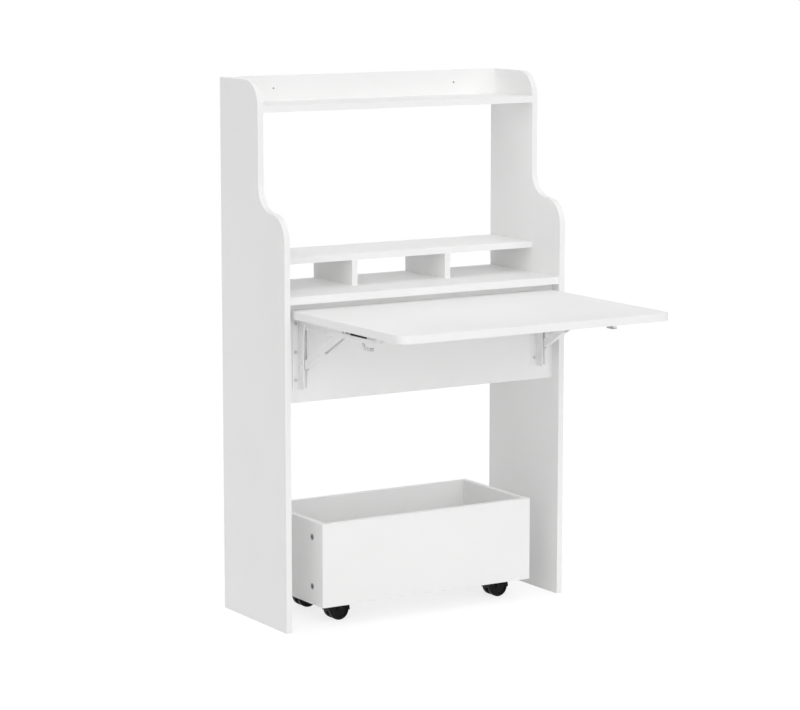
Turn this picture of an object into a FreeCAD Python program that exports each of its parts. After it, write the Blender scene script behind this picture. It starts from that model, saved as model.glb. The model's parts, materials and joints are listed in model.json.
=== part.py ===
import FreeCAD, Part
import math
import os

# Fold down wall desk: two side panels, three shelves, a desktop on two folding brackets and a box trolley.
# Millimetres, +X to the right, +Y to the wall, +Z up, origin on the floor in the middle of the outline.

V = FreeCAD.Vector
UP = V(0, 0, 1)
DOWN = V(0, 0, -1)
BACK = V(0, 1, 0)
FRONT = V(0, -1, 0)
RIGHT = V(1, 0, 0)
LEFT = V(-1, 0, 0)

# Cabinet
cabinet_width = 780.0
cabinet_height = 1280.0
panel_depth = 305.0
board = 15.0
thick_board = 18.0
upper_set_back = 122.0
shoulder_height = 977.0
top_corner_radius = 60.0
rail_height = 60.0
lower_shelf_set_back = 4.0
cubby_height = 60.5
middle_cubby_width = 246.0
wall_hole_spacing = 508.0
wall_hole_radius = 2.5

# Desktop and apron
desktop_height = 756.0
desktop_depth = 491.0
desktop_back_set = 22.0
desktop_side_gap = 10.0
desktop_shelf_gap = 14.5
desktop_corner_radius = 28.0
apron_set_back = 28.3
apron_drop = 218.0

# Folding brackets
bracket_left_inset = 10.0
bracket_right_inset = 16.0
sheet = 2.0
thin_sheet = 1.5
wall_arm_width = 22.0
wall_arm_depth = 26.0
wall_arm_drop = 157.0
inner_wall_depth = 8.0
brace_lug_radius = 8.0
ear_radius = 8.0
ear_rise = 36.0
flange_width = 15.0
arm_upper = 9.0
arm_lower = 9.0
arm_skirt = 6.5
arm_taper_start = 245.0
rivet_notch_room = 2.0
arm_nose = 16.0
arm_nose_radius = 9.0
web_start = 12.0
flange_start = 20.0
hinge_rivet_radius = 3.5
brace_rivet_radius = 3.0
rivet_head_height = 2.0
rivet_head_rim = 2.5
brace_drop = 105.0
brace_reach = 175.0
slot_line_drop = 1.0
slot_half_height = 3.0
lock_pin_radius = 2.8
brace_half_width = 9.0
brace_line_offset = 1.5
brace_web_start = 8.0
brace_web_length = 97.0
lever_pivot_lead = 40.0
lever_pivot_rise = 4.6
lever_nose_back = 27.0
lever_elbow_out = 26.0
lever_elbow_drop = 35.6
lever_tip_out = 48.0
lever_tip_drop = 36.0
lever_half_width = 4.0
finger_tab_length = 8.0
lever_rivet_radius = 1.8
lever_spring_length = 3.4
lever_spring_wall = 1.4

# Screws
bracket_screw_length = 16.0
bracket_screw_radius = 2.0
bracket_screw_head_radius = 4.0
bracket_screw_head_height = 2.2
wall_screw_top_drop = 5.0
wall_screw_pitch = 66.0
wall_screw_count = 3
arm_screw_first = 40.0
arm_screw_last = 32.4
arm_screw_count = 4
divider_screw_length = 50.0
divider_screw_radius = 3.2
divider_screw_head_radius = 5.0
divider_screw_head_height = 4.0
socket_radius = 1.5
socket_depth = 1.2

# Cam fittings and dowels
cam_radius = 7.5
cam_depth = 12.5
cam_distance = 34.0
cam_cross_length = 9.0
cam_cross_width = 1.6
cam_cross_depth = 1.6
cam_bolt_radius = 3.0
cam_bolt_thread = 10.0
dowel_radius = 4.0
dowel_deep = 20.0
dowel_shallow = 9.0
joint_inset = 60.0
apron_joint_inset = 20.0
divider_joint_inset = 40.0

# Trolley
trolley_side_gap = 82.5
trolley_depth = 290.0
trolley_skirt = 15.5
trolley_front_set = 0.0
trolley_top_gap = 8.0
trolley_cam_top_drop = 38.0
trolley_cam_bottom_rise = 43.5
trolley_floor_cam_offset = 35.0

# Casters
wheel_radius = 25.0
wheel_width = 13.4
wheel_edge_radius = 2.0
wheel_dish_depth = 2.5
wheel_hub_radius = 7.0
wheel_rim_width = 5.0
caster_inset_x = 66.0
caster_inset_y = 70.0
caster_trail = 10.5
caster_height = 64.0
hood_wall = 2.0
hood_web = 9.6
hood_lip_drop = 3.0
boss_radius = 10.0
stem_radius = 5.0
stem_length = 10.0
plate_size = 42.0
plate_thickness = 2.5
plate_hole_inset = 6.0
plate_screw_length = 12.0
plate_screw_radius = 1.8
plate_screw_head_radius = 3.4
plate_screw_head_height = 1.8
axle_radius = 3.0
axle_end_set = 3.0

# Clearances
fixed_fit = 0.03
running_fit = 0.05
side_clearance = 0.3
sweep_clearance = 0.4

# Places worked out from the sizes above
desktop_overhang = desktop_depth - desktop_back_set
overall_depth = panel_depth + desktop_overhang
wall_y = overall_depth / 2
front_y = wall_y - panel_depth
upper_front_y = front_y + upper_set_back
half_width = cabinet_width / 2
inner_half = half_width - board
desktop_bottom = desktop_height - thick_board
lower_shelf_bottom = desktop_height + desktop_shelf_gap
lower_shelf_top = lower_shelf_bottom + thick_board
cubby_shelf_bottom = lower_shelf_top + cubby_height
cubby_shelf_top = cubby_shelf_bottom + board
top_shelf_top = cabinet_height - rail_height
top_shelf_bottom = top_shelf_top - board
apron_bottom = desktop_height - apron_drop
apron_front = front_y + apron_set_back
apron_back = apron_front + board
divider_centre = (middle_cubby_width + board) / 2

# Bracket pivots: the brace clears the wall arm's web, and the folded top arm clears the brace rivet
hinge_z = desktop_bottom - arm_upper
brace_pivot_y = apron_front - sheet - sweep_clearance - brace_half_width - brace_line_offset
hinge_y = brace_pivot_y - brace_rivet_radius - side_clearance - arm_lower
brace_pivot_z = hinge_z - brace_drop
lock_y = hinge_y - brace_reach
lock_z = hinge_z - slot_line_drop
brace_length = math.hypot(brace_pivot_y - lock_y, lock_z - brace_pivot_z)
brace_angle = math.atan2(lock_z - brace_pivot_z, brace_pivot_y - lock_y)
folded_shift = brace_pivot_y - hinge_y - slot_line_drop
slot_end_reach = brace_drop + math.sqrt(brace_length ** 2 - folded_shift ** 2)
brace_folded_angle = -math.acos(folded_shift / brace_length)
brace_turn = brace_angle - brace_folded_angle
arm_length = slot_end_reach + arm_nose
arm_screw_step = (arm_length - arm_screw_first - arm_screw_last) / (arm_screw_count - 1)
top_arm_half = wall_arm_width / 2 - sheet - side_clearance
brace_half = top_arm_half - thin_sheet - side_clearance
wall_arm_bottom = hinge_z - wall_arm_drop
desktop_half = inner_half - desktop_side_gap
bracket_xs = {
    "left": -desktop_half + bracket_left_inset + flange_width + wall_arm_width / 2,
    "right": desktop_half - bracket_right_inset - wall_arm_width / 2,
}
flange_screw_x = -(wall_arm_width + flange_width) / 2
lever_pivot_y = lock_y - lever_pivot_lead
lever_pivot_z = hinge_z + lever_pivot_rise
lever_inner = top_arm_half + side_clearance
lever_outer = lever_inner + sheet
lever_spring_start = lever_outer + side_clearance
lever_head_start = lever_spring_start + lever_spring_length + side_clearance

# Trolley places: the box stands under the folded desktop's edge
folded_edge_z = hinge_z - (hinge_y - (front_y - desktop_overhang))
trolley_top = folded_edge_z - trolley_top_gap
trolley_floor_bottom = caster_height
trolley_floor_top = trolley_floor_bottom + board
trolley_bottom = trolley_floor_bottom - trolley_skirt
trolley_half = inner_half - trolley_side_gap
trolley_front_y = front_y + trolley_front_set
trolley_back_y = trolley_front_y + trolley_depth
trolley_cam_levels = (trolley_bottom + trolley_cam_bottom_rise, trolley_top - trolley_cam_top_drop)
hood_radius = wheel_radius + sweep_clearance + hood_wall
wheel_inner = hood_web / 2 + side_clearance
wheel_outer = wheel_inner + wheel_width


def box(x0, x1, y0, y1, z0, z1):
    """Upright block between two corners."""
    return Part.makeBox(x1 - x0, y1 - y0, z1 - z0, V(x0, y0, z0))


def rod(start, direction, length, radius):
    """Round bar from a point along a direction."""
    return Part.makeCylinder(radius, length, start, direction)


def cross_bar(x0, x1, y, z, radius):
    """Round bar along X."""
    return rod(V(x0, y, z), RIGHT, x1 - x0, radius)


def line(a, b):
    """Straight edge between two points."""
    return Part.LineSegment(a, b).toShape()


def arc(a, through, b):
    """Round edge through three points."""
    return Part.Arc(a, through, b).toShape()


def profile(edges, push):
    """Solid pushed from a closed flat outline."""
    return Part.Face(Part.Wire(edges)).extrude(push)


def polygon(points, push):
    """Solid pushed from straight edges through the points."""
    return Part.Face(Part.makePolygon(points + points[:1])).extrude(push)


def fuse(shapes):
    """One solid from touching shapes."""
    return shapes[0].multiFuse(shapes[1:]).removeSplitter()


def cut_all(shape, tools):
    """Shape less every tool."""
    return shape.cut(Part.makeCompound(tools)) if tools else shape


def link_plate(x0, x1, a, b, radius):
    """Flat bar with round ends, between two (y, z) points, from x0 to x1."""
    run = V(0, b[0] - a[0], b[1] - a[1])
    side = V(0, -run.z, run.y).normalize() * radius
    ends = [V(x0, a[0], a[1]), V(x0, b[0], b[1])]
    corners = [ends[0] + side, ends[1] + side, ends[1] - side, ends[0] - side]
    bars = [polygon(corners, V(x1 - x0, 0, 0))]
    for end in ends:
        bars.append(rod(end, RIGHT, x1 - x0, radius))
    return fuse(bars)


# Boards are drilled after all fasteners are placed
boards = {}
drillings = {}


def drill(name, tool):
    """Notes a hole to be made in a board."""
    drillings.setdefault(name, []).append(tool)


class Fasteners:
    """Cam locks, cam bolts and dowels of one body."""

    def __init__(self):
        self.cams = []
        self.bolts = []
        self.dowels = []

    def cam_joint(self, receiver, holder, face, run, cam_side, half):
        """Bolt in the receiver's face and cam in the holder, open towards cam_side."""
        bolt_start = face - run * cam_bolt_thread
        bolt_length = cam_bolt_thread + cam_distance
        hole = rod(bolt_start, run, bolt_length, cam_bolt_radius + fixed_fit)
        centre = face + run * cam_distance
        mouth = centre + cam_side * half
        across = run.cross(cam_side)
        cross_slots = []
        for along, wide in ((run, across), (across, run)):
            corner = mouth - along * (cam_cross_length / 2) - wide * (cam_cross_width / 2)
            steps = (V(0, 0, 0), along * cam_cross_length, along * cam_cross_length + wide * cam_cross_width,
                     wide * cam_cross_width)
            cross_slots.append(polygon([corner + step for step in steps], cam_side * -cam_cross_depth))
        cam = rod(mouth, cam_side * -1, cam_depth, cam_radius)
        self.cams.append(cut_all(cam, [hole] + cross_slots))
        self.bolts.append(rod(bolt_start, run, bolt_length, cam_bolt_radius))
        drill(receiver, hole)
        drill(holder, hole)
        drill(holder, rod(mouth, cam_side * -1, cam_depth + fixed_fit, cam_radius + fixed_fit))

    def dowel(self, first, second, face, run, into_first, into_second):
        """Wooden dowel across a joint face, run pointing from the first board into the second."""
        start = face - run * into_first
        length = into_first + into_second
        self.dowels.append(rod(start, run, length, dowel_radius))
        hole = rod(start - run * fixed_fit, run, length + 2 * fixed_fit, dowel_radius + fixed_fit)
        drill(first, hole)
        drill(second, hole)


def screw(seat, direction, length, radius, head_radius, head_height):
    """Round-headed screw with its head standing on the seat point."""
    head = rod(seat - direction * head_height, direction, head_height, head_radius)
    socket = rod(seat - direction * head_height, direction, socket_depth, socket_radius)
    shank = rod(seat, direction, length, radius)
    return fuse([head, shank]).cut(socket)


def rivet(x0, x1, y, z, radius):
    """Rivet across a channel, with a round head outside each wall."""
    head_radius = radius + rivet_head_rim
    shank = cross_bar(x0, x1, y, z, radius)
    left_head = cross_bar(x0 - rivet_head_height, x0, y, z, head_radius)
    right_head = cross_bar(x1, x1 + rivet_head_height, y, z, head_radius)
    return fuse([shank, left_head, right_head])


def side_panel(x0):
    """Side board with a swept shoulder and a round top front corner."""
    sweep = upper_set_back / 2
    diagonal = sweep * math.sqrt(0.5)
    corner = top_corner_radius * (1 - math.sqrt(0.5))
    foot_front = V(x0, front_y, 0)
    foot_back = V(x0, wall_y, 0)
    top_back = V(x0, wall_y, cabinet_height)
    top_front = V(x0, upper_front_y + top_corner_radius, cabinet_height)
    corner_middle = V(x0, upper_front_y + corner, cabinet_height - corner)
    corner_end = V(x0, upper_front_y, cabinet_height - top_corner_radius)
    sweep_start = V(x0, upper_front_y, shoulder_height + sweep)
    hollow_middle = V(x0, front_y + sweep + diagonal, shoulder_height + sweep - diagonal)
    sweep_middle = V(x0, front_y + sweep, shoulder_height)
    round_middle = V(x0, front_y + sweep - diagonal, shoulder_height - sweep + diagonal)
    sweep_end = V(x0, front_y, shoulder_height - sweep)
    edges = [
        line(foot_front, foot_back),
        line(foot_back, top_back),
        line(top_back, top_front),
        arc(top_front, corner_middle, corner_end),
        line(corner_end, sweep_start),
        arc(sweep_start, hollow_middle, sweep_middle),
        arc(sweep_middle, round_middle, sweep_end),
        line(sweep_end, foot_front),
    ]
    return profile(edges, V(board, 0, 0))


def cabinet_boards():
    """Boards of the fixed cabinet."""
    boards["left_side_panel"] = side_panel(-half_width)
    boards["right_side_panel"] = side_panel(inner_half)
    boards["top_shelf"] = box(-inner_half, inner_half, upper_front_y, wall_y,
                              top_shelf_bottom, top_shelf_top)
    boards["wall_rail"] = box(-inner_half, inner_half, wall_y - board, wall_y,
                              top_shelf_top, cabinet_height)
    boards["cubby_top_shelf"] = box(-inner_half, inner_half, upper_front_y, wall_y,
                                    cubby_shelf_bottom, cubby_shelf_top)
    boards["cubby_bottom_shelf"] = box(-inner_half, inner_half, front_y + lower_shelf_set_back, wall_y,
                                       lower_shelf_bottom, lower_shelf_top)
    boards["apron_panel"] = box(-inner_half, inner_half, apron_front, apron_back,
                                apron_bottom, lower_shelf_bottom)
    for side, name in ((-1, "left_divider"), (1, "right_divider")):
        middle = side * divider_centre
        boards[name] = box(middle - board / 2, middle + board / 2, upper_front_y, wall_y,
                           lower_shelf_top, cubby_shelf_bottom)
    rail_middle = (top_shelf_top + cabinet_height) / 2
    for side in (-1, 1):
        hole_start = V(side * wall_hole_spacing / 2, wall_y - board, rail_middle)
        drill("wall_rail", rod(hole_start, BACK, board, wall_hole_radius))


def cabinet_fasteners():
    """Cam fittings, dowels and screws inside the cabinet's joints."""
    joints = Fasteners()
    shelves = (
        ("top_shelf", top_shelf_bottom, board, upper_front_y),
        ("cubby_top_shelf", cubby_shelf_bottom, board, upper_front_y),
        ("cubby_bottom_shelf", lower_shelf_bottom, thick_board, front_y + lower_shelf_set_back),
    )
    for side, panel in ((-1, "left_side_panel"), (1, "right_side_panel")):
        inward = RIGHT * -side
        joint_x = side * inner_half
        for shelf, underside, thickness, shelf_front in shelves:
            level = underside + thickness / 2
            for y in (shelf_front + joint_inset, wall_y - joint_inset):
                joints.cam_joint(panel, shelf, V(joint_x, y, level), inward, DOWN, thickness / 2)
            middle = V(joint_x, (shelf_front + wall_y) / 2, level)
            joints.dowel(panel, shelf, middle, inward, dowel_shallow, dowel_deep)
        for level in (apron_bottom + apron_joint_inset, lower_shelf_bottom - apron_joint_inset):
            apron_face = V(joint_x, (apron_front + apron_back) / 2, level)
            joints.cam_joint(panel, "apron_panel", apron_face, inward, BACK, board / 2)
        rail_face = V(joint_x, wall_y - board / 2, (top_shelf_top + cabinet_height) / 2)
        joints.cam_joint(panel, "wall_rail", rail_face, inward, BACK, board / 2)
    for x in (-inner_half / 2, 0, inner_half / 2):
        rail_seat = V(x, wall_y - board / 2, top_shelf_top)
        joints.dowel("top_shelf", "wall_rail", rail_seat, UP, dowel_shallow, dowel_deep)
        apron_seat = V(x, (apron_front + apron_back) / 2, lower_shelf_bottom)
        joints.dowel("cubby_bottom_shelf", "apron_panel", apron_seat, DOWN, dowel_shallow, dowel_deep)
    screws = []
    for side, name in ((-1, "left_divider"), (1, "right_divider")):
        for y in (upper_front_y + divider_joint_inset, wall_y - divider_joint_inset):
            top_seat = V(side * divider_centre, y, cubby_shelf_bottom)
            joints.dowel("cubby_top_shelf", name, top_seat, DOWN, dowel_shallow, dowel_deep)
            foot = V(side * divider_centre, y, lower_shelf_bottom + divider_screw_head_height)
            screws.append(screw(foot, UP, divider_screw_length - divider_screw_head_height,
                                divider_screw_radius, divider_screw_head_radius, divider_screw_head_height))
            shank = rod(foot, UP, divider_screw_length, divider_screw_radius + fixed_fit)
            drill("cubby_bottom_shelf", shank)
            drill(name, shank)
            drill("cubby_bottom_shelf", rod(foot, DOWN, divider_screw_head_height,
                                            divider_screw_head_radius + fixed_fit))
    return joints, screws


def wall_arm(x):
    """Channel on the apron with hinge ears at its top and a screw flange along its left side.

    The left wall is deep, with a gusset under its ear. The right wall is low except at its hinge ear
    and at its lug for the brace rivet."""
    half = wall_arm_width / 2
    arm_front = apron_front - wall_arm_depth
    ear_top = hinge_z + ear_radius
    ear_back = (apron_front - ear_radius, hinge_z)
    lug_back = (apron_front - brace_lug_radius, brace_pivot_z)
    walls = []
    for x0, wall_front in ((x - half, arm_front), (x + half - sheet, apron_front - inner_wall_depth)):
        wall = box(x0, x0 + sheet, wall_front, apron_front, wall_arm_bottom, ear_top)
        lug = link_plate(x0, x0 + sheet, (brace_pivot_y, brace_pivot_z), lug_back, brace_lug_radius)
        ear = link_plate(x0, x0 + sheet, (hinge_y, hinge_z), ear_back, ear_radius)
        walls.extend([wall, lug, ear])
    gusset = polygon([V(x - half, hinge_y - ear_radius, hinge_z), V(x - half, arm_front, hinge_z),
                      V(x - half, arm_front, hinge_z - ear_rise)], V(sheet, 0, 0))
    walls.append(gusset)
    web = box(x - half, x + half, apron_front - sheet, apron_front, wall_arm_bottom, ear_top)
    flange = box(x - half - flange_width, x - half, apron_front - sheet, apron_front,
                 wall_arm_bottom, ear_top)
    holes = [
        cross_bar(x - half, x + half, hinge_y, hinge_z, hinge_rivet_radius + fixed_fit),
        cross_bar(x - half, x + half, brace_pivot_y, brace_pivot_z, brace_rivet_radius + fixed_fit),
    ]
    for seat in wall_screw_seats(x):
        holes.append(rod(seat, BACK, sheet, bracket_screw_radius + fixed_fit))
    return cut_all(fuse(walls + [web, flange]), holes)


def wall_screw_seats(x):
    """Points under the heads of the screws that hold a wall arm."""
    seats = []
    for step in range(wall_screw_count):
        level = hinge_z - wall_screw_top_drop - step * wall_screw_pitch
        seats.append(V(x + flange_screw_x, apron_front - sheet, level))
    return seats


def arm_screw_seats(x):
    """Points under the heads of the screws that hold a top arm to the desktop."""
    seats = []
    for step in range(arm_screw_count):
        y = hinge_y - arm_screw_first - step * arm_screw_step
        seats.append(V(x + flange_screw_x, y, desktop_bottom - sheet))
    return seats


def top_arm(x):
    """Channel under the desktop, slotted for the lock pin, with a screw flange along its left side.

    The lower edge is deep up to the taper and has a notch that takes the brace rivet when folded."""
    end_y = hinge_y - arm_length
    low = hinge_z - arm_lower
    deep = low - arm_skirt
    taper_y = hinge_y - arm_taper_start
    notch_y = hinge_y - brace_drop
    notch_z = hinge_z - (brace_pivot_y - hinge_y)
    walls = []
    for x0 in (x - top_arm_half, x + top_arm_half - thin_sheet):
        nose_start = V(x0, end_y + arm_nose_radius, low)
        nose_end = V(x0, end_y, low + arm_nose_radius)
        slack = arm_nose_radius * (1 - math.sqrt(0.5))
        edges = [
            line(V(x0, hinge_y, low), V(x0, hinge_y - arm_skirt, deep)),
            line(V(x0, hinge_y - arm_skirt, deep), V(x0, taper_y, deep)),
            line(V(x0, taper_y, deep), nose_start),
            arc(nose_start, V(x0, end_y + slack, low + slack), nose_end),
            line(nose_end, V(x0, end_y, desktop_bottom)),
            line(V(x0, end_y, desktop_bottom), V(x0, hinge_y, desktop_bottom)),
            arc(V(x0, hinge_y, desktop_bottom), V(x0, hinge_y + arm_lower, (low + desktop_bottom) / 2),
                V(x0, hinge_y, low)),
        ]
        walls.append(profile(edges, V(thin_sheet, 0, 0)))
    web = box(x - top_arm_half, x + top_arm_half, end_y, hinge_y - web_start,
              desktop_bottom - sheet, desktop_bottom)
    flange = box(x - wall_arm_width / 2 - flange_width, x - top_arm_half, end_y + arm_nose_radius,
                 hinge_y - flange_start, desktop_bottom - sheet, desktop_bottom)
    holes = [
        cross_bar(x - top_arm_half, x + top_arm_half, hinge_y, hinge_z, hinge_rivet_radius + running_fit),
        link_plate(x - top_arm_half, x + top_arm_half, (lock_y, lock_z), (hinge_y - slot_end_reach, lock_z),
                   slot_half_height),
        link_plate(x - top_arm_half, x + top_arm_half, (notch_y, notch_z), (notch_y, deep - arm_skirt),
                   brace_rivet_radius + rivet_notch_room),
        cross_bar(x, x + top_arm_half, lever_pivot_y, lever_pivot_z, lever_rivet_radius + fixed_fit),
    ]
    for seat in arm_screw_seats(x):
        holes.append(rod(seat, UP, sheet, bracket_screw_radius + fixed_fit))
    return cut_all(fuse(walls + [web, flange]), holes)


def brace_point(along, across):
    """(y, z) point on the brace, along it from the lower pivot and across it to its underside."""
    y = brace_pivot_y - along * math.cos(brace_angle) - across * math.sin(brace_angle)
    z = brace_pivot_z + along * math.sin(brace_angle) - across * math.cos(brace_angle)
    return y, z


def brace(x):
    """Two long plates joined by a web along the lower part of their underside."""
    lower_end = brace_point(0, brace_line_offset)
    upper_end = brace_point(brace_length, brace_line_offset)
    plates = []
    for x0 in (x - brace_half, x + brace_half - thin_sheet):
        plates.append(link_plate(x0, x0 + thin_sheet, lower_end, upper_end, brace_half_width))
    underside = brace_line_offset + brace_half_width
    web_end = brace_web_start + brace_web_length
    web_corners = []
    for along, across in ((brace_web_start, underside), (web_end, underside),
                          (web_end, underside - thin_sheet), (brace_web_start, underside - thin_sheet)):
        y, z = brace_point(along, across)
        web_corners.append(V(x - brace_half, y, z))
    web = polygon(web_corners, V(2 * brace_half, 0, 0))
    holes = [
        cross_bar(x - brace_half, x + brace_half, brace_pivot_y, brace_pivot_z,
                  brace_rivet_radius + running_fit),
        cross_bar(x - brace_half, x + brace_half, lock_y, lock_z, lock_pin_radius + fixed_fit),
    ]
    return cut_all(fuse(plates + [web]), holes)


def release_lever(x):
    """Bent plate outside the top arm, with its nose over the slot's end and a finger tab at its tip."""
    pivot = (lever_pivot_y, lever_pivot_z)
    nose = (lever_pivot_y + lever_nose_back, lock_z)
    elbow = (lever_pivot_y - lever_elbow_out, lever_pivot_z - lever_elbow_drop)
    tip = (lever_pivot_y - lever_tip_out, lever_pivot_z - lever_tip_drop)
    x0 = x + lever_inner
    x1 = x + lever_outer
    bars = []
    for a, b in ((nose, pivot), (pivot, elbow), (elbow, tip)):
        bars.append(link_plate(x0, x1, a, b, lever_half_width))
    bars.append(cross_bar(x0, x1 + finger_tab_length, tip[0], tip[1], lever_half_width))
    hole = cross_bar(x0, x1, lever_pivot_y, lever_pivot_z, lever_rivet_radius + running_fit)
    return cut_all(fuse(bars), [hole])


def lever_rivet(x):
    """Rivet in the top arm's right wall that the lever turns on."""
    head_start = x + lever_head_start
    head = cross_bar(head_start, head_start + rivet_head_height, lever_pivot_y, lever_pivot_z,
                     lever_rivet_radius + rivet_head_height)
    shank = cross_bar(x + top_arm_half - thin_sheet, head_start, lever_pivot_y, lever_pivot_z,
                      lever_rivet_radius)
    return fuse([shank, head])


def lever_spring(x):
    """Plain sleeve for the small return spring round the lever's rivet."""
    start = x + lever_spring_start
    end = start + lever_spring_length
    bore = lever_rivet_radius + side_clearance
    sleeve = cross_bar(start, end, lever_pivot_y, lever_pivot_z, bore + lever_spring_wall)
    return sleeve.cut(cross_bar(start, end, lever_pivot_y, lever_pivot_z, bore))


def desktop_board():
    """Work surface with round front corners."""
    half = desktop_half
    back = front_y + desktop_back_set
    front = front_y - desktop_overhang
    radius = desktop_corner_radius
    slack = radius * (1 - math.sqrt(0.5))
    z = desktop_bottom
    edges = [
        line(V(-half, back, z), V(-half, front + radius, z)),
        arc(V(-half, front + radius, z), V(-half + slack, front + slack, z), V(-half + radius, front, z)),
        line(V(-half + radius, front, z), V(half - radius, front, z)),
        arc(V(half - radius, front, z), V(half - slack, front + slack, z), V(half, front + radius, z)),
        line(V(half, front + radius, z), V(half, back, z)),
        line(V(half, back, z), V(-half, back, z)),
    ]
    return profile(edges, V(0, 0, thick_board))


def bracket_screws():
    """Screws through both brackets into the apron and the desktop."""
    wall_screws = []
    desktop_screws = []
    for x in bracket_xs.values():
        for seats, direction, receiver, made in (
            (wall_screw_seats(x), BACK, "apron_panel", wall_screws),
            (arm_screw_seats(x), UP, "desktop", desktop_screws),
        ):
            for seat in seats:
                made.append(screw(seat, direction, bracket_screw_length, bracket_screw_radius,
                                  bracket_screw_head_radius, bracket_screw_head_height))
                drill(receiver, rod(seat, direction, bracket_screw_length + fixed_fit,
                                    bracket_screw_radius + fixed_fit))
    return wall_screws, desktop_screws


def trolley_boards():
    """Open box of the trolley."""
    inner = trolley_half - board
    inner_front = trolley_front_y + board
    inner_back = trolley_back_y - board
    boards["trolley_front"] = box(-trolley_half, trolley_half, trolley_front_y, inner_front,
                                  trolley_bottom, trolley_top)
    boards["trolley_back"] = box(-trolley_half, trolley_half, inner_back, trolley_back_y,
                                 trolley_bottom, trolley_top)
    boards["trolley_left_side"] = box(-trolley_half, -inner, inner_front, inner_back,
                                      trolley_bottom, trolley_top)
    boards["trolley_right_side"] = box(inner, trolley_half, inner_front, inner_back,
                                       trolley_bottom, trolley_top)
    boards["trolley_floor"] = box(-inner, inner, inner_front, inner_back,
                                  trolley_floor_bottom, trolley_floor_top)


def trolley_fasteners():
    """Cam fittings and dowels of the trolley box."""
    joints = Fasteners()
    floor_level = (trolley_floor_bottom + trolley_floor_top) / 2
    middle_level = (trolley_bottom + trolley_top) / 2
    middle_y = (trolley_front_y + trolley_back_y) / 2
    for side, panel in ((-1, "trolley_left_side"), (1, "trolley_right_side")):
        outward = RIGHT * side
        edge_x = side * (trolley_half - board / 2)
        for receiver, joint_y, run in (
            ("trolley_front", trolley_front_y + board, BACK),
            ("trolley_back", trolley_back_y - board, FRONT),
        ):
            for level in trolley_cam_levels:
                joints.cam_joint(receiver, panel, V(edge_x, joint_y, level), run, outward, board / 2)
            joints.dowel(receiver, panel, V(edge_x, joint_y, middle_level), run, dowel_shallow, dowel_deep)
        floor_x = side * (trolley_half - board)
        for step in (-1, 1):
            floor_face = V(floor_x, middle_y + step * trolley_floor_cam_offset, floor_level)
            joints.cam_joint(panel, "trolley_floor", floor_face, outward * -1, DOWN, board / 2)
        joints.dowel(panel, "trolley_floor", V(floor_x, middle_y, floor_level), outward * -1,
                     dowel_shallow, dowel_deep)
    return joints


def caster_places():
    """Swivel axis of each caster by name."""
    places = {}
    for row, y in (("front", trolley_front_y + caster_inset_y), ("back", trolley_back_y - caster_inset_y)):
        for column, side in (("left", -1), ("right", 1)):
            places[row + "_" + column] = (side * (trolley_half - caster_inset_x), y)
    return places


def caster_mount(x, y):
    """Square plate under the trolley floor with the swivel stem below it, and its screws."""
    half = plate_size / 2
    seat_z = caster_height - plate_thickness
    plate = box(x - half, x + half, y - half, y + half, seat_z, caster_height)
    stem = rod(V(x, y, seat_z), DOWN, stem_length, stem_radius)
    reach = half - plate_hole_inset
    holes = []
    screws = []
    for dx in (-reach, reach):
        for dy in (-reach, reach):
            seat = V(x + dx, y + dy, seat_z)
            hole = rod(seat, UP, plate_screw_length + fixed_fit, plate_screw_radius + fixed_fit)
            holes.append(hole)
            drill("trolley_floor", hole)
            screws.append(screw(seat, UP, plate_screw_length, plate_screw_radius, plate_screw_head_radius,
                                plate_screw_head_height))
    return cut_all(fuse([plate, stem]), holes), screws


def caster_hood(x, y):
    """Hood over both wheels with a middle web for the axle and a boss for the swivel stem."""
    axle_x = x + caster_trail
    seat_z = caster_height - plate_thickness
    drum = rod(V(axle_x, y - wheel_outer, wheel_radius), BACK, 2 * wheel_outer, hood_radius)
    reach = 2 * hood_radius
    below = box(axle_x - reach, axle_x + reach, y - reach, y + reach, -reach, wheel_radius - hood_lip_drop)
    axle_boss = rod(V(axle_x, y - hood_web / 2, wheel_radius), BACK, hood_web, boss_radius)
    boss_top = seat_z - side_clearance
    swivel_boss = rod(V(x, y, wheel_radius), UP, boss_top - wheel_radius, boss_radius)
    body = fuse([drum.cut(below), axle_boss, swivel_boss])
    pocket_radius = wheel_radius + sweep_clearance
    tools = [
        rod(V(axle_x, y + hood_web / 2, wheel_radius), BACK, reach, pocket_radius),
        rod(V(axle_x, y - hood_web / 2, wheel_radius), FRONT, reach, pocket_radius),
        rod(V(axle_x, y - hood_web, wheel_radius), BACK, 2 * hood_web, axle_radius + running_fit),
        rod(V(x, y, boss_top), DOWN, stem_length, stem_radius + running_fit),
    ]
    return cut_all(body, tools)


def caster_wheels(x, y):
    """Two dished wheels and the axle pressed into both."""
    axle_x = x + caster_trail
    axle_half = wheel_outer - axle_end_set
    wheels = []
    for side in (BACK, FRONT):
        inner_face = V(axle_x, y, wheel_radius) + side * wheel_inner
        outer_face = V(axle_x, y, wheel_radius) + side * wheel_outer
        tyre = rod(inner_face, side, wheel_width, wheel_radius)
        tyre = tyre.makeFillet(wheel_edge_radius, [e for e in tyre.Edges if len(e.Vertexes) == 1])
        dish_start = outer_face - side * wheel_dish_depth
        dish = rod(dish_start, side, wheel_dish_depth, wheel_radius - wheel_rim_width)
        hub = rod(dish_start, side, wheel_dish_depth, wheel_hub_radius)
        bore = rod(inner_face, side, wheel_width - axle_end_set + fixed_fit, axle_radius + fixed_fit)
        wheels.append(cut_all(tyre, [dish.cut(hub), bore]))
    axle = rod(V(axle_x, y - axle_half, wheel_radius), BACK, 2 * axle_half, axle_radius)
    return wheels, axle


# Build every piece
nodes = {}
cabinet_boards()
boards["desktop"] = desktop_board()
trolley_boards()
cabinet_joints, divider_screws = cabinet_fasteners()
wall_screws, desktop_screws = bracket_screws()
trolley_joints = trolley_fasteners()

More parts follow.
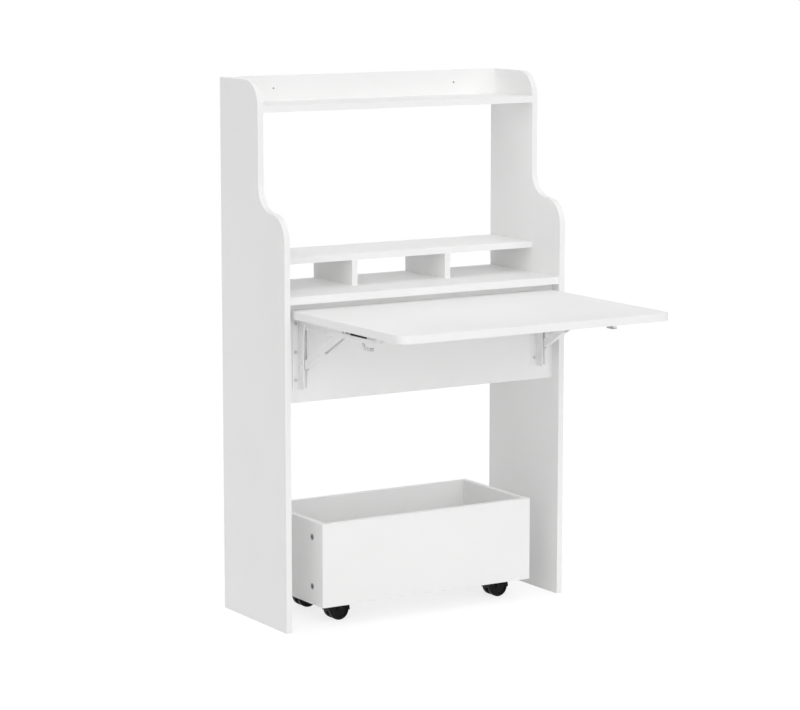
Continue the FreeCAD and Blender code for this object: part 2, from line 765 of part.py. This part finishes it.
nodes["cabinet_cam_locks"] = Part.makeCompound(cabinet_joints.cams)
nodes["cabinet_cam_bolts"] = Part.makeCompound(cabinet_joints.bolts)
nodes["cabinet_dowels"] = Part.makeCompound(cabinet_joints.dowels)
nodes["divider_screws"] = Part.makeCompound(divider_screws)
nodes["wall_arm_screws"] = Part.makeCompound(wall_screws)
nodes["desktop_screws"] = Part.makeCompound(desktop_screws)
nodes["trolley_cam_locks"] = Part.makeCompound(trolley_joints.cams)
nodes["trolley_cam_bolts"] = Part.makeCompound(trolley_joints.bolts)
nodes["trolley_dowels"] = Part.makeCompound(trolley_joints.dowels)

for bracket_name, bracket_x in bracket_xs.items():
    channel_half = wall_arm_width / 2
    nodes[bracket_name + "_wall_arm"] = wall_arm(bracket_x)
    nodes[bracket_name + "_top_arm"] = top_arm(bracket_x)
    nodes[bracket_name + "_hinge_rivet"] = rivet(bracket_x - channel_half, bracket_x + channel_half,
                                                 hinge_y, hinge_z, hinge_rivet_radius)
    nodes[bracket_name + "_brace_rivet"] = rivet(bracket_x - channel_half, bracket_x + channel_half,
                                                 brace_pivot_y, brace_pivot_z, brace_rivet_radius)
    nodes[bracket_name + "_brace"] = brace(bracket_x)
    nodes[bracket_name + "_lock_pin"] = cross_bar(bracket_x - brace_half, bracket_x + brace_half,
                                                  lock_y, lock_z, lock_pin_radius)
    nodes[bracket_name + "_release_lever"] = release_lever(bracket_x)
    nodes[bracket_name + "_lever_rivet"] = lever_rivet(bracket_x)
    nodes[bracket_name + "_lever_spring"] = lever_spring(bracket_x)

mounts = []
mount_screws = []
for caster_name, (caster_x, caster_y) in caster_places().items():
    mount, screws = caster_mount(caster_x, caster_y)
    mounts.append(mount)
    mount_screws.extend(screws)
    wheels, axle = caster_wheels(caster_x, caster_y)
    nodes[caster_name + "_caster_hood"] = caster_hood(caster_x, caster_y)
    nodes[caster_name + "_caster_wheels"] = Part.makeCompound(wheels)
    nodes[caster_name + "_caster_axle"] = axle
nodes["caster_mounts"] = Part.makeCompound(mounts)
nodes["caster_mount_screws"] = Part.makeCompound(mount_screws)

for name, shape in boards.items():
    nodes[name] = cut_all(shape, drillings.get(name, []))

os.makedirs("parts", exist_ok=True)
for name, shape in nodes.items():
    shape.exportStep("parts/" + name + ".step")
print(len(nodes), "pieces written")
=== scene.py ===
import json
import math

import bpy
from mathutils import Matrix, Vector


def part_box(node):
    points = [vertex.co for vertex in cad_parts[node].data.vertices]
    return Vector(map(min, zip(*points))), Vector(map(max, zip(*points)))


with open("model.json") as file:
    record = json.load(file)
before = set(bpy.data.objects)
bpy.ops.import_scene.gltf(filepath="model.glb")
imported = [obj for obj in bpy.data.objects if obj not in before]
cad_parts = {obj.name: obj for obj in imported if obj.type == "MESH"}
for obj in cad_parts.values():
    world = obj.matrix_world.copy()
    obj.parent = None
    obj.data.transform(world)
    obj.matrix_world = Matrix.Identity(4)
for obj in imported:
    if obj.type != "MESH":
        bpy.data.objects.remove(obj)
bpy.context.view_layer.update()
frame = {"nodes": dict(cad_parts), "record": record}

nodes = frame["nodes"]
slot_of = {row["node"]: row["material_slot"] for row in frame["record"]["subparts"]}

# Camera of the photograph, with its focal length in pixels
IMAGE_WIDTH = 800
FOCAL_PIXELS = 2804.8
SENSOR = 36.0
CAMERA_PLACE = (-3.4997, -5.4751, 1.6309)
CAMERA_YAW = math.radians(31.608)
CAMERA_PITCH = math.radians(-8.695)
CLIP_END = 100.0

# Light levels: an even sky, and soft lamps as (direction to the lamp, level)
SKY_LEVEL = 0.18
LAMPS = (
    ((-0.7, -0.5, 0.5), 0.75),
    ((-0.5, 0.0, 0.87), 0.40),
    ((0.5, 0.0, 0.87), 0.79),
    ((0.0, -0.94, 0.34), 1.22),
    ((0.0, 0.98, 0.17), 1.57),
)
LAMP_SPREAD = math.radians(60)

# Floor: half its side, the share of light it returns, and the shade and glow it shows
FLOOR_HALF = 6.0
FLOOR_RETURN = 0.94
FLOOR_SHADE = 0.30
FLOOR_GLOW = 0.77

# Most of a noise texture's values lie in this range
NOISE_RANGE = (0.3, 0.7)

# Share of open sky seen from inside a recess and from an open face, between which painted shade fades
# in
RECESS_OPENNESS = (0.55, 0.85)

# Width of the crosses in the cams that get painted shade
RECESS_REACH = 0.003

# Painted shade in a top arm's channel, a black patch where the slot shows the channel's shaded
# inside: middle from the arm's right, front and top, then half sizes
SLOT_SHADE_MIDDLE = (-0.0087, 0.119, -0.0131)
SLOT_SHADE_HALF = (0.0074, 0.039, 0.0109)

# Rounding of the edges of each finish
EDGE_SIZES = {"white_board": 0.0007, "white_steel": 0.0003, "black_plastic": 0.0006}
EDGE_SEGMENTS = 2
EDGE_ANGLE = math.radians(50)
FLAT_ANGLE = math.radians(0.5)
SMOOTH_ANGLE = math.radians(32)

# Places of the colour sockets in Blender's mix node
MIX_FIRST, MIX_SECOND, MIX_RESULT = 6, 7, 2


def math_node(tree, operation, *terms):
    """Math node whose terms are sockets or plain numbers."""
    node = tree.nodes.new("ShaderNodeMath")
    node.operation = operation
    for socket, term in zip(node.inputs, terms):
        if isinstance(term, float):
            socket.default_value = term
        else:
            tree.links.new(term, socket)
    return node.outputs["Value"]


class Shade:
    """A material with a principled shader and short ways to add texture nodes."""

    def __init__(self, name):
        self.material = bpy.data.materials.new(name)
        self.material.use_nodes = True
        self.tree = self.material.node_tree
        self.shader = self.tree.nodes["Principled BSDF"]
        self.place = self.tree.nodes.new("ShaderNodeTexCoord").outputs["Object"]

    def node(self, kind):
        return self.tree.nodes.new(kind)

    def link(self, a, b):
        self.tree.links.new(a, b)

    def set(self, name, value):
        self.shader.inputs[name].default_value = value

    def stretch(self, scale):
        """Texture place squeezed by a factor along each axis."""
        mapping = self.node("ShaderNodeMapping")
        mapping.inputs["Scale"].default_value = scale
        self.link(self.place, mapping.inputs["Vector"])
        return mapping.outputs["Vector"]

    def noise(self, scale, detail=3.0, rough=0.5, place=None):
        texture = self.node("ShaderNodeTexNoise")
        texture.inputs["Scale"].default_value = scale
        texture.inputs["Detail"].default_value = detail
        texture.inputs["Roughness"].default_value = rough
        self.link(place or self.place, texture.inputs["Vector"])
        return texture.outputs["Fac"]

    def mottle(self, factor, dark, light):
        """Colour between a dark and a light one, by a noise factor."""
        ramp = self.node("ShaderNodeValToRGB")
        for point, position, colour in zip(ramp.color_ramp.elements, NOISE_RANGE, (dark, light)):
            point.position = position
            point.color = (*colour, 1.0)
        self.link(factor, ramp.inputs["Fac"])
        return ramp.outputs["Color"]

    def span(self, factor, values, reach=NOISE_RANGE):
        """Factor spread from its reach to two values."""
        spread = self.node("ShaderNodeMapRange")
        spread.inputs["From Min"].default_value, spread.inputs["From Max"].default_value = reach
        spread.inputs["To Min"].default_value, spread.inputs["To Max"].default_value = values
        self.link(factor, spread.inputs["Value"])
        return spread.outputs["Result"]

    def inside(self, middle, half):
        """One within a box, else zero."""
        axes = self.node("ShaderNodeSeparateXYZ")
        self.link(self.place, axes.inputs["Vector"])
        within = 1.0
        for axis, centre, reach in zip("XYZ", middle, half):
            near = math_node(self.tree, "COMPARE", axes.outputs[axis], centre, reach)
            within = math_node(self.tree, "MULTIPLY", within, near)
        return within

    def recess(self, reach):
        """Mask for painted shade: one in recesses narrower than the reach, zero on open faces."""
        shelter = self.node("ShaderNodeAmbientOcclusion")
        shelter.only_local = True
        shelter.inputs["Distance"].default_value = reach
        return self.span(shelter.outputs["AO"], (1.0, 0.0), RECESS_OPENNESS)

    def colour(self, factor, dark, light):
        self.link(self.mottle(factor, dark, light), self.shader.inputs["Base Color"])

    def cover(self, mask, dark, light):
        """Another mottled colour over the base colour where the mask is one."""
        base = self.shader.inputs["Base Color"]
        under = base.links[0].from_socket
        mix = self.node("ShaderNodeMix")
        mix.data_type = "RGBA"
        self.link(mask, mix.inputs["Factor"])
        self.link(under, mix.inputs[MIX_FIRST])
        self.link(self.mottle(self.noise(scale=80.0), dark, light), mix.inputs[MIX_SECOND])
        self.link(mix.outputs[MIX_RESULT], base)

    def roughness(self, factor, low, high):
        self.link(self.span(factor, (low, high)), self.shader.inputs["Roughness"])

    def bump(self, height, strength, distance):
        bump = self.node("ShaderNodeBump")
        bump.inputs["Strength"].default_value = strength
        bump.inputs["Distance"].default_value = distance
        self.link(height, bump.inputs["Height"])
        self.link(bump.outputs["Normal"], self.shader.inputs["Normal"])


def grey(level, warm=0.0):
    """Near-grey colour, a little warmer for positive warm."""
    return (level + warm, level, level - warm)


def white_board():
    """Matt white foil on board."""
    shade = Shade("white_board")
    shade.colour(shade.noise(scale=5.0, detail=4.0), grey(0.90, warm=0.002), grey(0.92, warm=0.002))
    shade.roughness(shade.noise(scale=60.0), 0.60, 0.68)
    shade.bump(shade.noise(scale=1400.0, detail=2.0), strength=0.05, distance=0.0003)
    shade.set("Specular IOR Level", 0.2)
    return shade.material


def white_steel(name="white_steel", arm=None):
    """White powder coat, with painted shade as a black patch in the channel of a top arm, when an arm
    is given.
    """
    shade = Shade(name)
    shade.colour(shade.noise(scale=30.0), grey(0.885), grey(0.905))
    shade.roughness(shade.noise(scale=300.0), 0.30, 0.42)
    shade.bump(shade.noise(scale=2200.0, detail=2.0), strength=0.10, distance=0.0003)
    # Painted shade: black over the channel's inner face behind the slot, where the inside lies in
    # shade
    if arm:
        low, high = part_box(arm)
        middle = Vector((high[0], low[1], high[2])) + Vector(SLOT_SHADE_MIDDLE)
        shade.cover(shade.inside(middle, SLOT_SHADE_HALF), grey(0.006), grey(0.012))
    return shade.material


def zinc_steel(name, dark, light, shaded_recesses=False):
    """Plated metal, mottled between a dark and a light level, with painted shade darkening its narrow
    recesses when asked.
    """
    shade = Shade(name)
    shade.set("Metallic", 1.0)
    streaks = shade.noise(scale=90.0, detail=4.0, rough=0.6, place=shade.stretch((1.0, 6.0, 6.0)))
    shade.colour(streaks, grey(dark, warm=-0.01), grey(light, warm=-0.01))
    # Painted shade: narrow recesses darkened to near black
    if shaded_recesses:
        shade.cover(shade.recess(RECESS_REACH), grey(0.010), grey(0.030))
    shade.roughness(shade.noise(scale=500.0), 0.30, 0.46)
    shade.bump(shade.noise(scale=1800.0), strength=0.08, distance=0.0002)
    return shade.material


def black_plastic():
    """Moulded black plastic with a fine texture."""
    shade = Shade("black_plastic")
    shade.colour(shade.noise(scale=80.0), (0.004, 0.004, 0.005), (0.008, 0.008, 0.009))
    shade.roughness(shade.noise(scale=200.0), 0.34, 0.48)
    shade.bump(shade.noise(scale=2600.0), strength=0.15, distance=0.0003)
    shade.set("Specular IOR Level", 0.13)
    return shade.material


def dowel_wood():
    """Bare hardwood with its grain along the dowel."""
    shade = Shade("dowel_wood")
    grain = shade.noise(scale=60.0, detail=6.0, rough=0.65, place=shade.stretch((1.0, 8.0, 8.0)))
    shade.colour(grain, (0.48, 0.33, 0.19), (0.64, 0.48, 0.30))
    shade.roughness(grain, 0.55, 0.7)
    shade.bump(grain, strength=0.2, distance=0.0004)
    return shade.material


def smooth_group():
    """Modifier nodes that shade smooth except over sharp edges."""
    group = bpy.data.node_groups.new("smooth_by_angle", "GeometryNodeTree")
    group.interface.new_socket("Geometry", in_out="INPUT", socket_type="NodeSocketGeometry")
    group.interface.new_socket("Geometry", in_out="OUTPUT", socket_type="NodeSocketGeometry")
    start = group.nodes.new("NodeGroupInput")
    end = group.nodes.new("NodeGroupOutput")
    faces = group.nodes.new("GeometryNodeSetShadeSmooth")
    faces.domain = "FACE"
    edges = group.nodes.new("GeometryNodeSetShadeSmooth")
    edges.domain = "EDGE"
    angle = group.nodes.new("GeometryNodeInputMeshEdgeAngle")
    compare = group.nodes.new("FunctionNodeCompare")
    compare.data_type = "FLOAT"
    compare.operation = "LESS_EQUAL"
    compare.inputs["B"].default_value = SMOOTH_ANGLE
    group.links.new(start.outputs["Geometry"], faces.inputs["Geometry"])
    group.links.new(faces.outputs["Geometry"], edges.inputs["Geometry"])
    group.links.new(angle.outputs["Unsigned Angle"], compare.inputs["A"])
    group.links.new(compare.outputs["Result"], edges.inputs["Shade Smooth"])
    group.links.new(edges.outputs["Geometry"], end.inputs["Geometry"])
    return group


def soften(piece, width):
    """Small rounding of the sharp edges of a CAD node."""
    flat = piece.modifiers.new("flat_faces", "DECIMATE")
    flat.decimate_type = "DISSOLVE"
    flat.angle_limit = FLAT_ANGLE
    round_over = piece.modifiers.new("soft_edges", "BEVEL")
    round_over.width = width
    round_over.segments = EDGE_SEGMENTS
    round_over.limit_method = "ANGLE"
    round_over.angle_limit = EDGE_ANGLE
    round_over.use_clamp_overlap = False


def finish_pieces():
    """Material and smooth shading on every CAD piece, and soft edges on those whose finish is listed
    in EDGE_SIZES.
    """
    materials = {
        "white_board": white_board(),
        "white_steel": white_steel(),
        "zinc_steel": zinc_steel("zinc_steel", dark=0.43, light=0.61),
        "black_plastic": black_plastic(),
        "dowel_wood": dowel_wood(),
    }
    screw_zinc = zinc_steel("screw_zinc", dark=0.58, light=0.70)
    cam_zinc = zinc_steel("cam_zinc", dark=0.30, light=0.44, shaded_recesses=True)
    special = {
        "wall_arm_screws": screw_zinc,
        "desktop_screws": screw_zinc,
        "cabinet_cam_locks": cam_zinc,
        "trolley_cam_locks": cam_zinc,
    }
    # Each top arm gets its own material, with painted shade in its channel
    for arm in ("left_top_arm", "right_top_arm"):
        special[arm] = white_steel(arm + "_steel", arm)
    smoothing = smooth_group()
    for name, piece in nodes.items():
        kind = slot_of[name]
        piece.data.materials.clear()
        piece.data.materials.append(special.get(name, materials[kind]))
        if kind in EDGE_SIZES:
            soften(piece, EDGE_SIZES[kind])
        smooth = piece.modifiers.new("smooth", "NODES")
        smooth.node_group = smoothing


def seen_rays(tree):
    """One for rays from the camera, in reflections or through clear pieces, else zero."""
    path = tree.nodes.new("ShaderNodeLightPath").outputs
    direct = math_node(tree, "MAXIMUM", path["Is Camera Ray"], path["Is Glossy Ray"])
    return math_node(tree, "MAXIMUM", direct, path["Is Transmission Ray"])


def world_light():
    """Even sky for the object, plain white behind it and in its reflections."""
    world = bpy.data.worlds.new("studio")
    world.use_nodes = True
    bpy.context.scene.world = world
    tree = world.node_tree
    sky = tree.nodes["Background"]
    sky.inputs["Color"].default_value = (1, 1, 1, 1)
    sky.inputs["Strength"].default_value = SKY_LEVEL
    white = tree.nodes.new("ShaderNodeBackground")
    white.inputs["Color"].default_value = (1, 1, 1, 1)
    white.inputs["Strength"].default_value = 1.0
    mix = tree.nodes.new("ShaderNodeMixShader")
    tree.links.new(seen_rays(tree), mix.inputs["Fac"])
    tree.links.new(sky.outputs["Background"], mix.inputs[1])
    tree.links.new(white.outputs["Background"], mix.inputs[2])
    tree.links.new(mix.outputs["Shader"], tree.nodes["World Output"].inputs["Surface"])


def studio_floor():
    """White floor that keeps a light shadow of the object."""
    mesh = bpy.data.meshes.new("floor")
    half = FLOOR_HALF
    corners = [(-half, -half, 0), (half, -half, 0), (half, half, 0), (-half, half, 0)]
    mesh.from_pydata(corners, [], [(0, 1, 2, 3)])
    floor = bpy.data.objects.new("floor", mesh)
    bpy.context.scene.collection.objects.link(floor)
    material = bpy.data.materials.new("floor_white")
    material.use_nodes = True
    tree = material.node_tree
    tree.nodes.remove(tree.nodes["Principled BSDF"])
    bounce = tree.nodes.new("ShaderNodeBsdfDiffuse")
    bounce.inputs["Color"].default_value = (*grey(FLOOR_RETURN), 1)
    shown = tree.nodes.new("ShaderNodeBsdfDiffuse")
    shown.inputs["Color"].default_value = (*grey(FLOOR_SHADE), 1)
    glow = tree.nodes.new("ShaderNodeEmission")
    glow.inputs["Strength"].default_value = FLOOR_GLOW
    added = tree.nodes.new("ShaderNodeAddShader")
    tree.links.new(shown.outputs["BSDF"], added.inputs[0])
    tree.links.new(glow.outputs["Emission"], added.inputs[1])
    mix = tree.nodes.new("ShaderNodeMixShader")
    tree.links.new(seen_rays(tree), mix.inputs["Fac"])
    tree.links.new(bounce.outputs["BSDF"], mix.inputs[1])
    tree.links.new(added.outputs["Shader"], mix.inputs[2])
    tree.links.new(mix.outputs["Shader"], tree.nodes["Material Output"].inputs["Surface"])
    mesh.materials.append(material)


def soft_lamps():
    """Broad soft lamps around the desk."""
    for place, level in LAMPS:
        lamp = bpy.data.lights.new("soft_lamp", "SUN")
        lamp.energy = level
        lamp.angle = LAMP_SPREAD
        holder = bpy.data.objects.new("soft_lamp", lamp)
        holder.rotation_mode = "QUATERNION"
        holder.rotation_quaternion = Vector(place).to_track_quat("Z", "Y")
        bpy.context.scene.collection.objects.link(holder)


def photo_camera():
    """Camera at the photograph's place."""
    data = bpy.data.cameras.new("photo_camera")
    data.sensor_width = SENSOR
    data.lens = FOCAL_PIXELS / IMAGE_WIDTH * SENSOR
    data.clip_end = CLIP_END
    camera = bpy.data.objects.new("photo_camera", data)
    look = Vector((
        math.sin(CAMERA_YAW) * math.cos(CAMERA_PITCH),
        math.cos(CAMERA_YAW) * math.cos(CAMERA_PITCH),
        math.sin(CAMERA_PITCH),
    ))
    camera.location = CAMERA_PLACE
    camera.rotation_mode = "QUATERNION"
    camera.rotation_quaternion = look.to_track_quat("-Z", "Y")
    bpy.context.scene.collection.objects.link(camera)
    bpy.context.scene.camera = camera


finish_pieces()
world_light()
studio_floor()
soft_lamps()
photo_camera()
bpy.context.scene.view_settings.view_transform = "Standard"
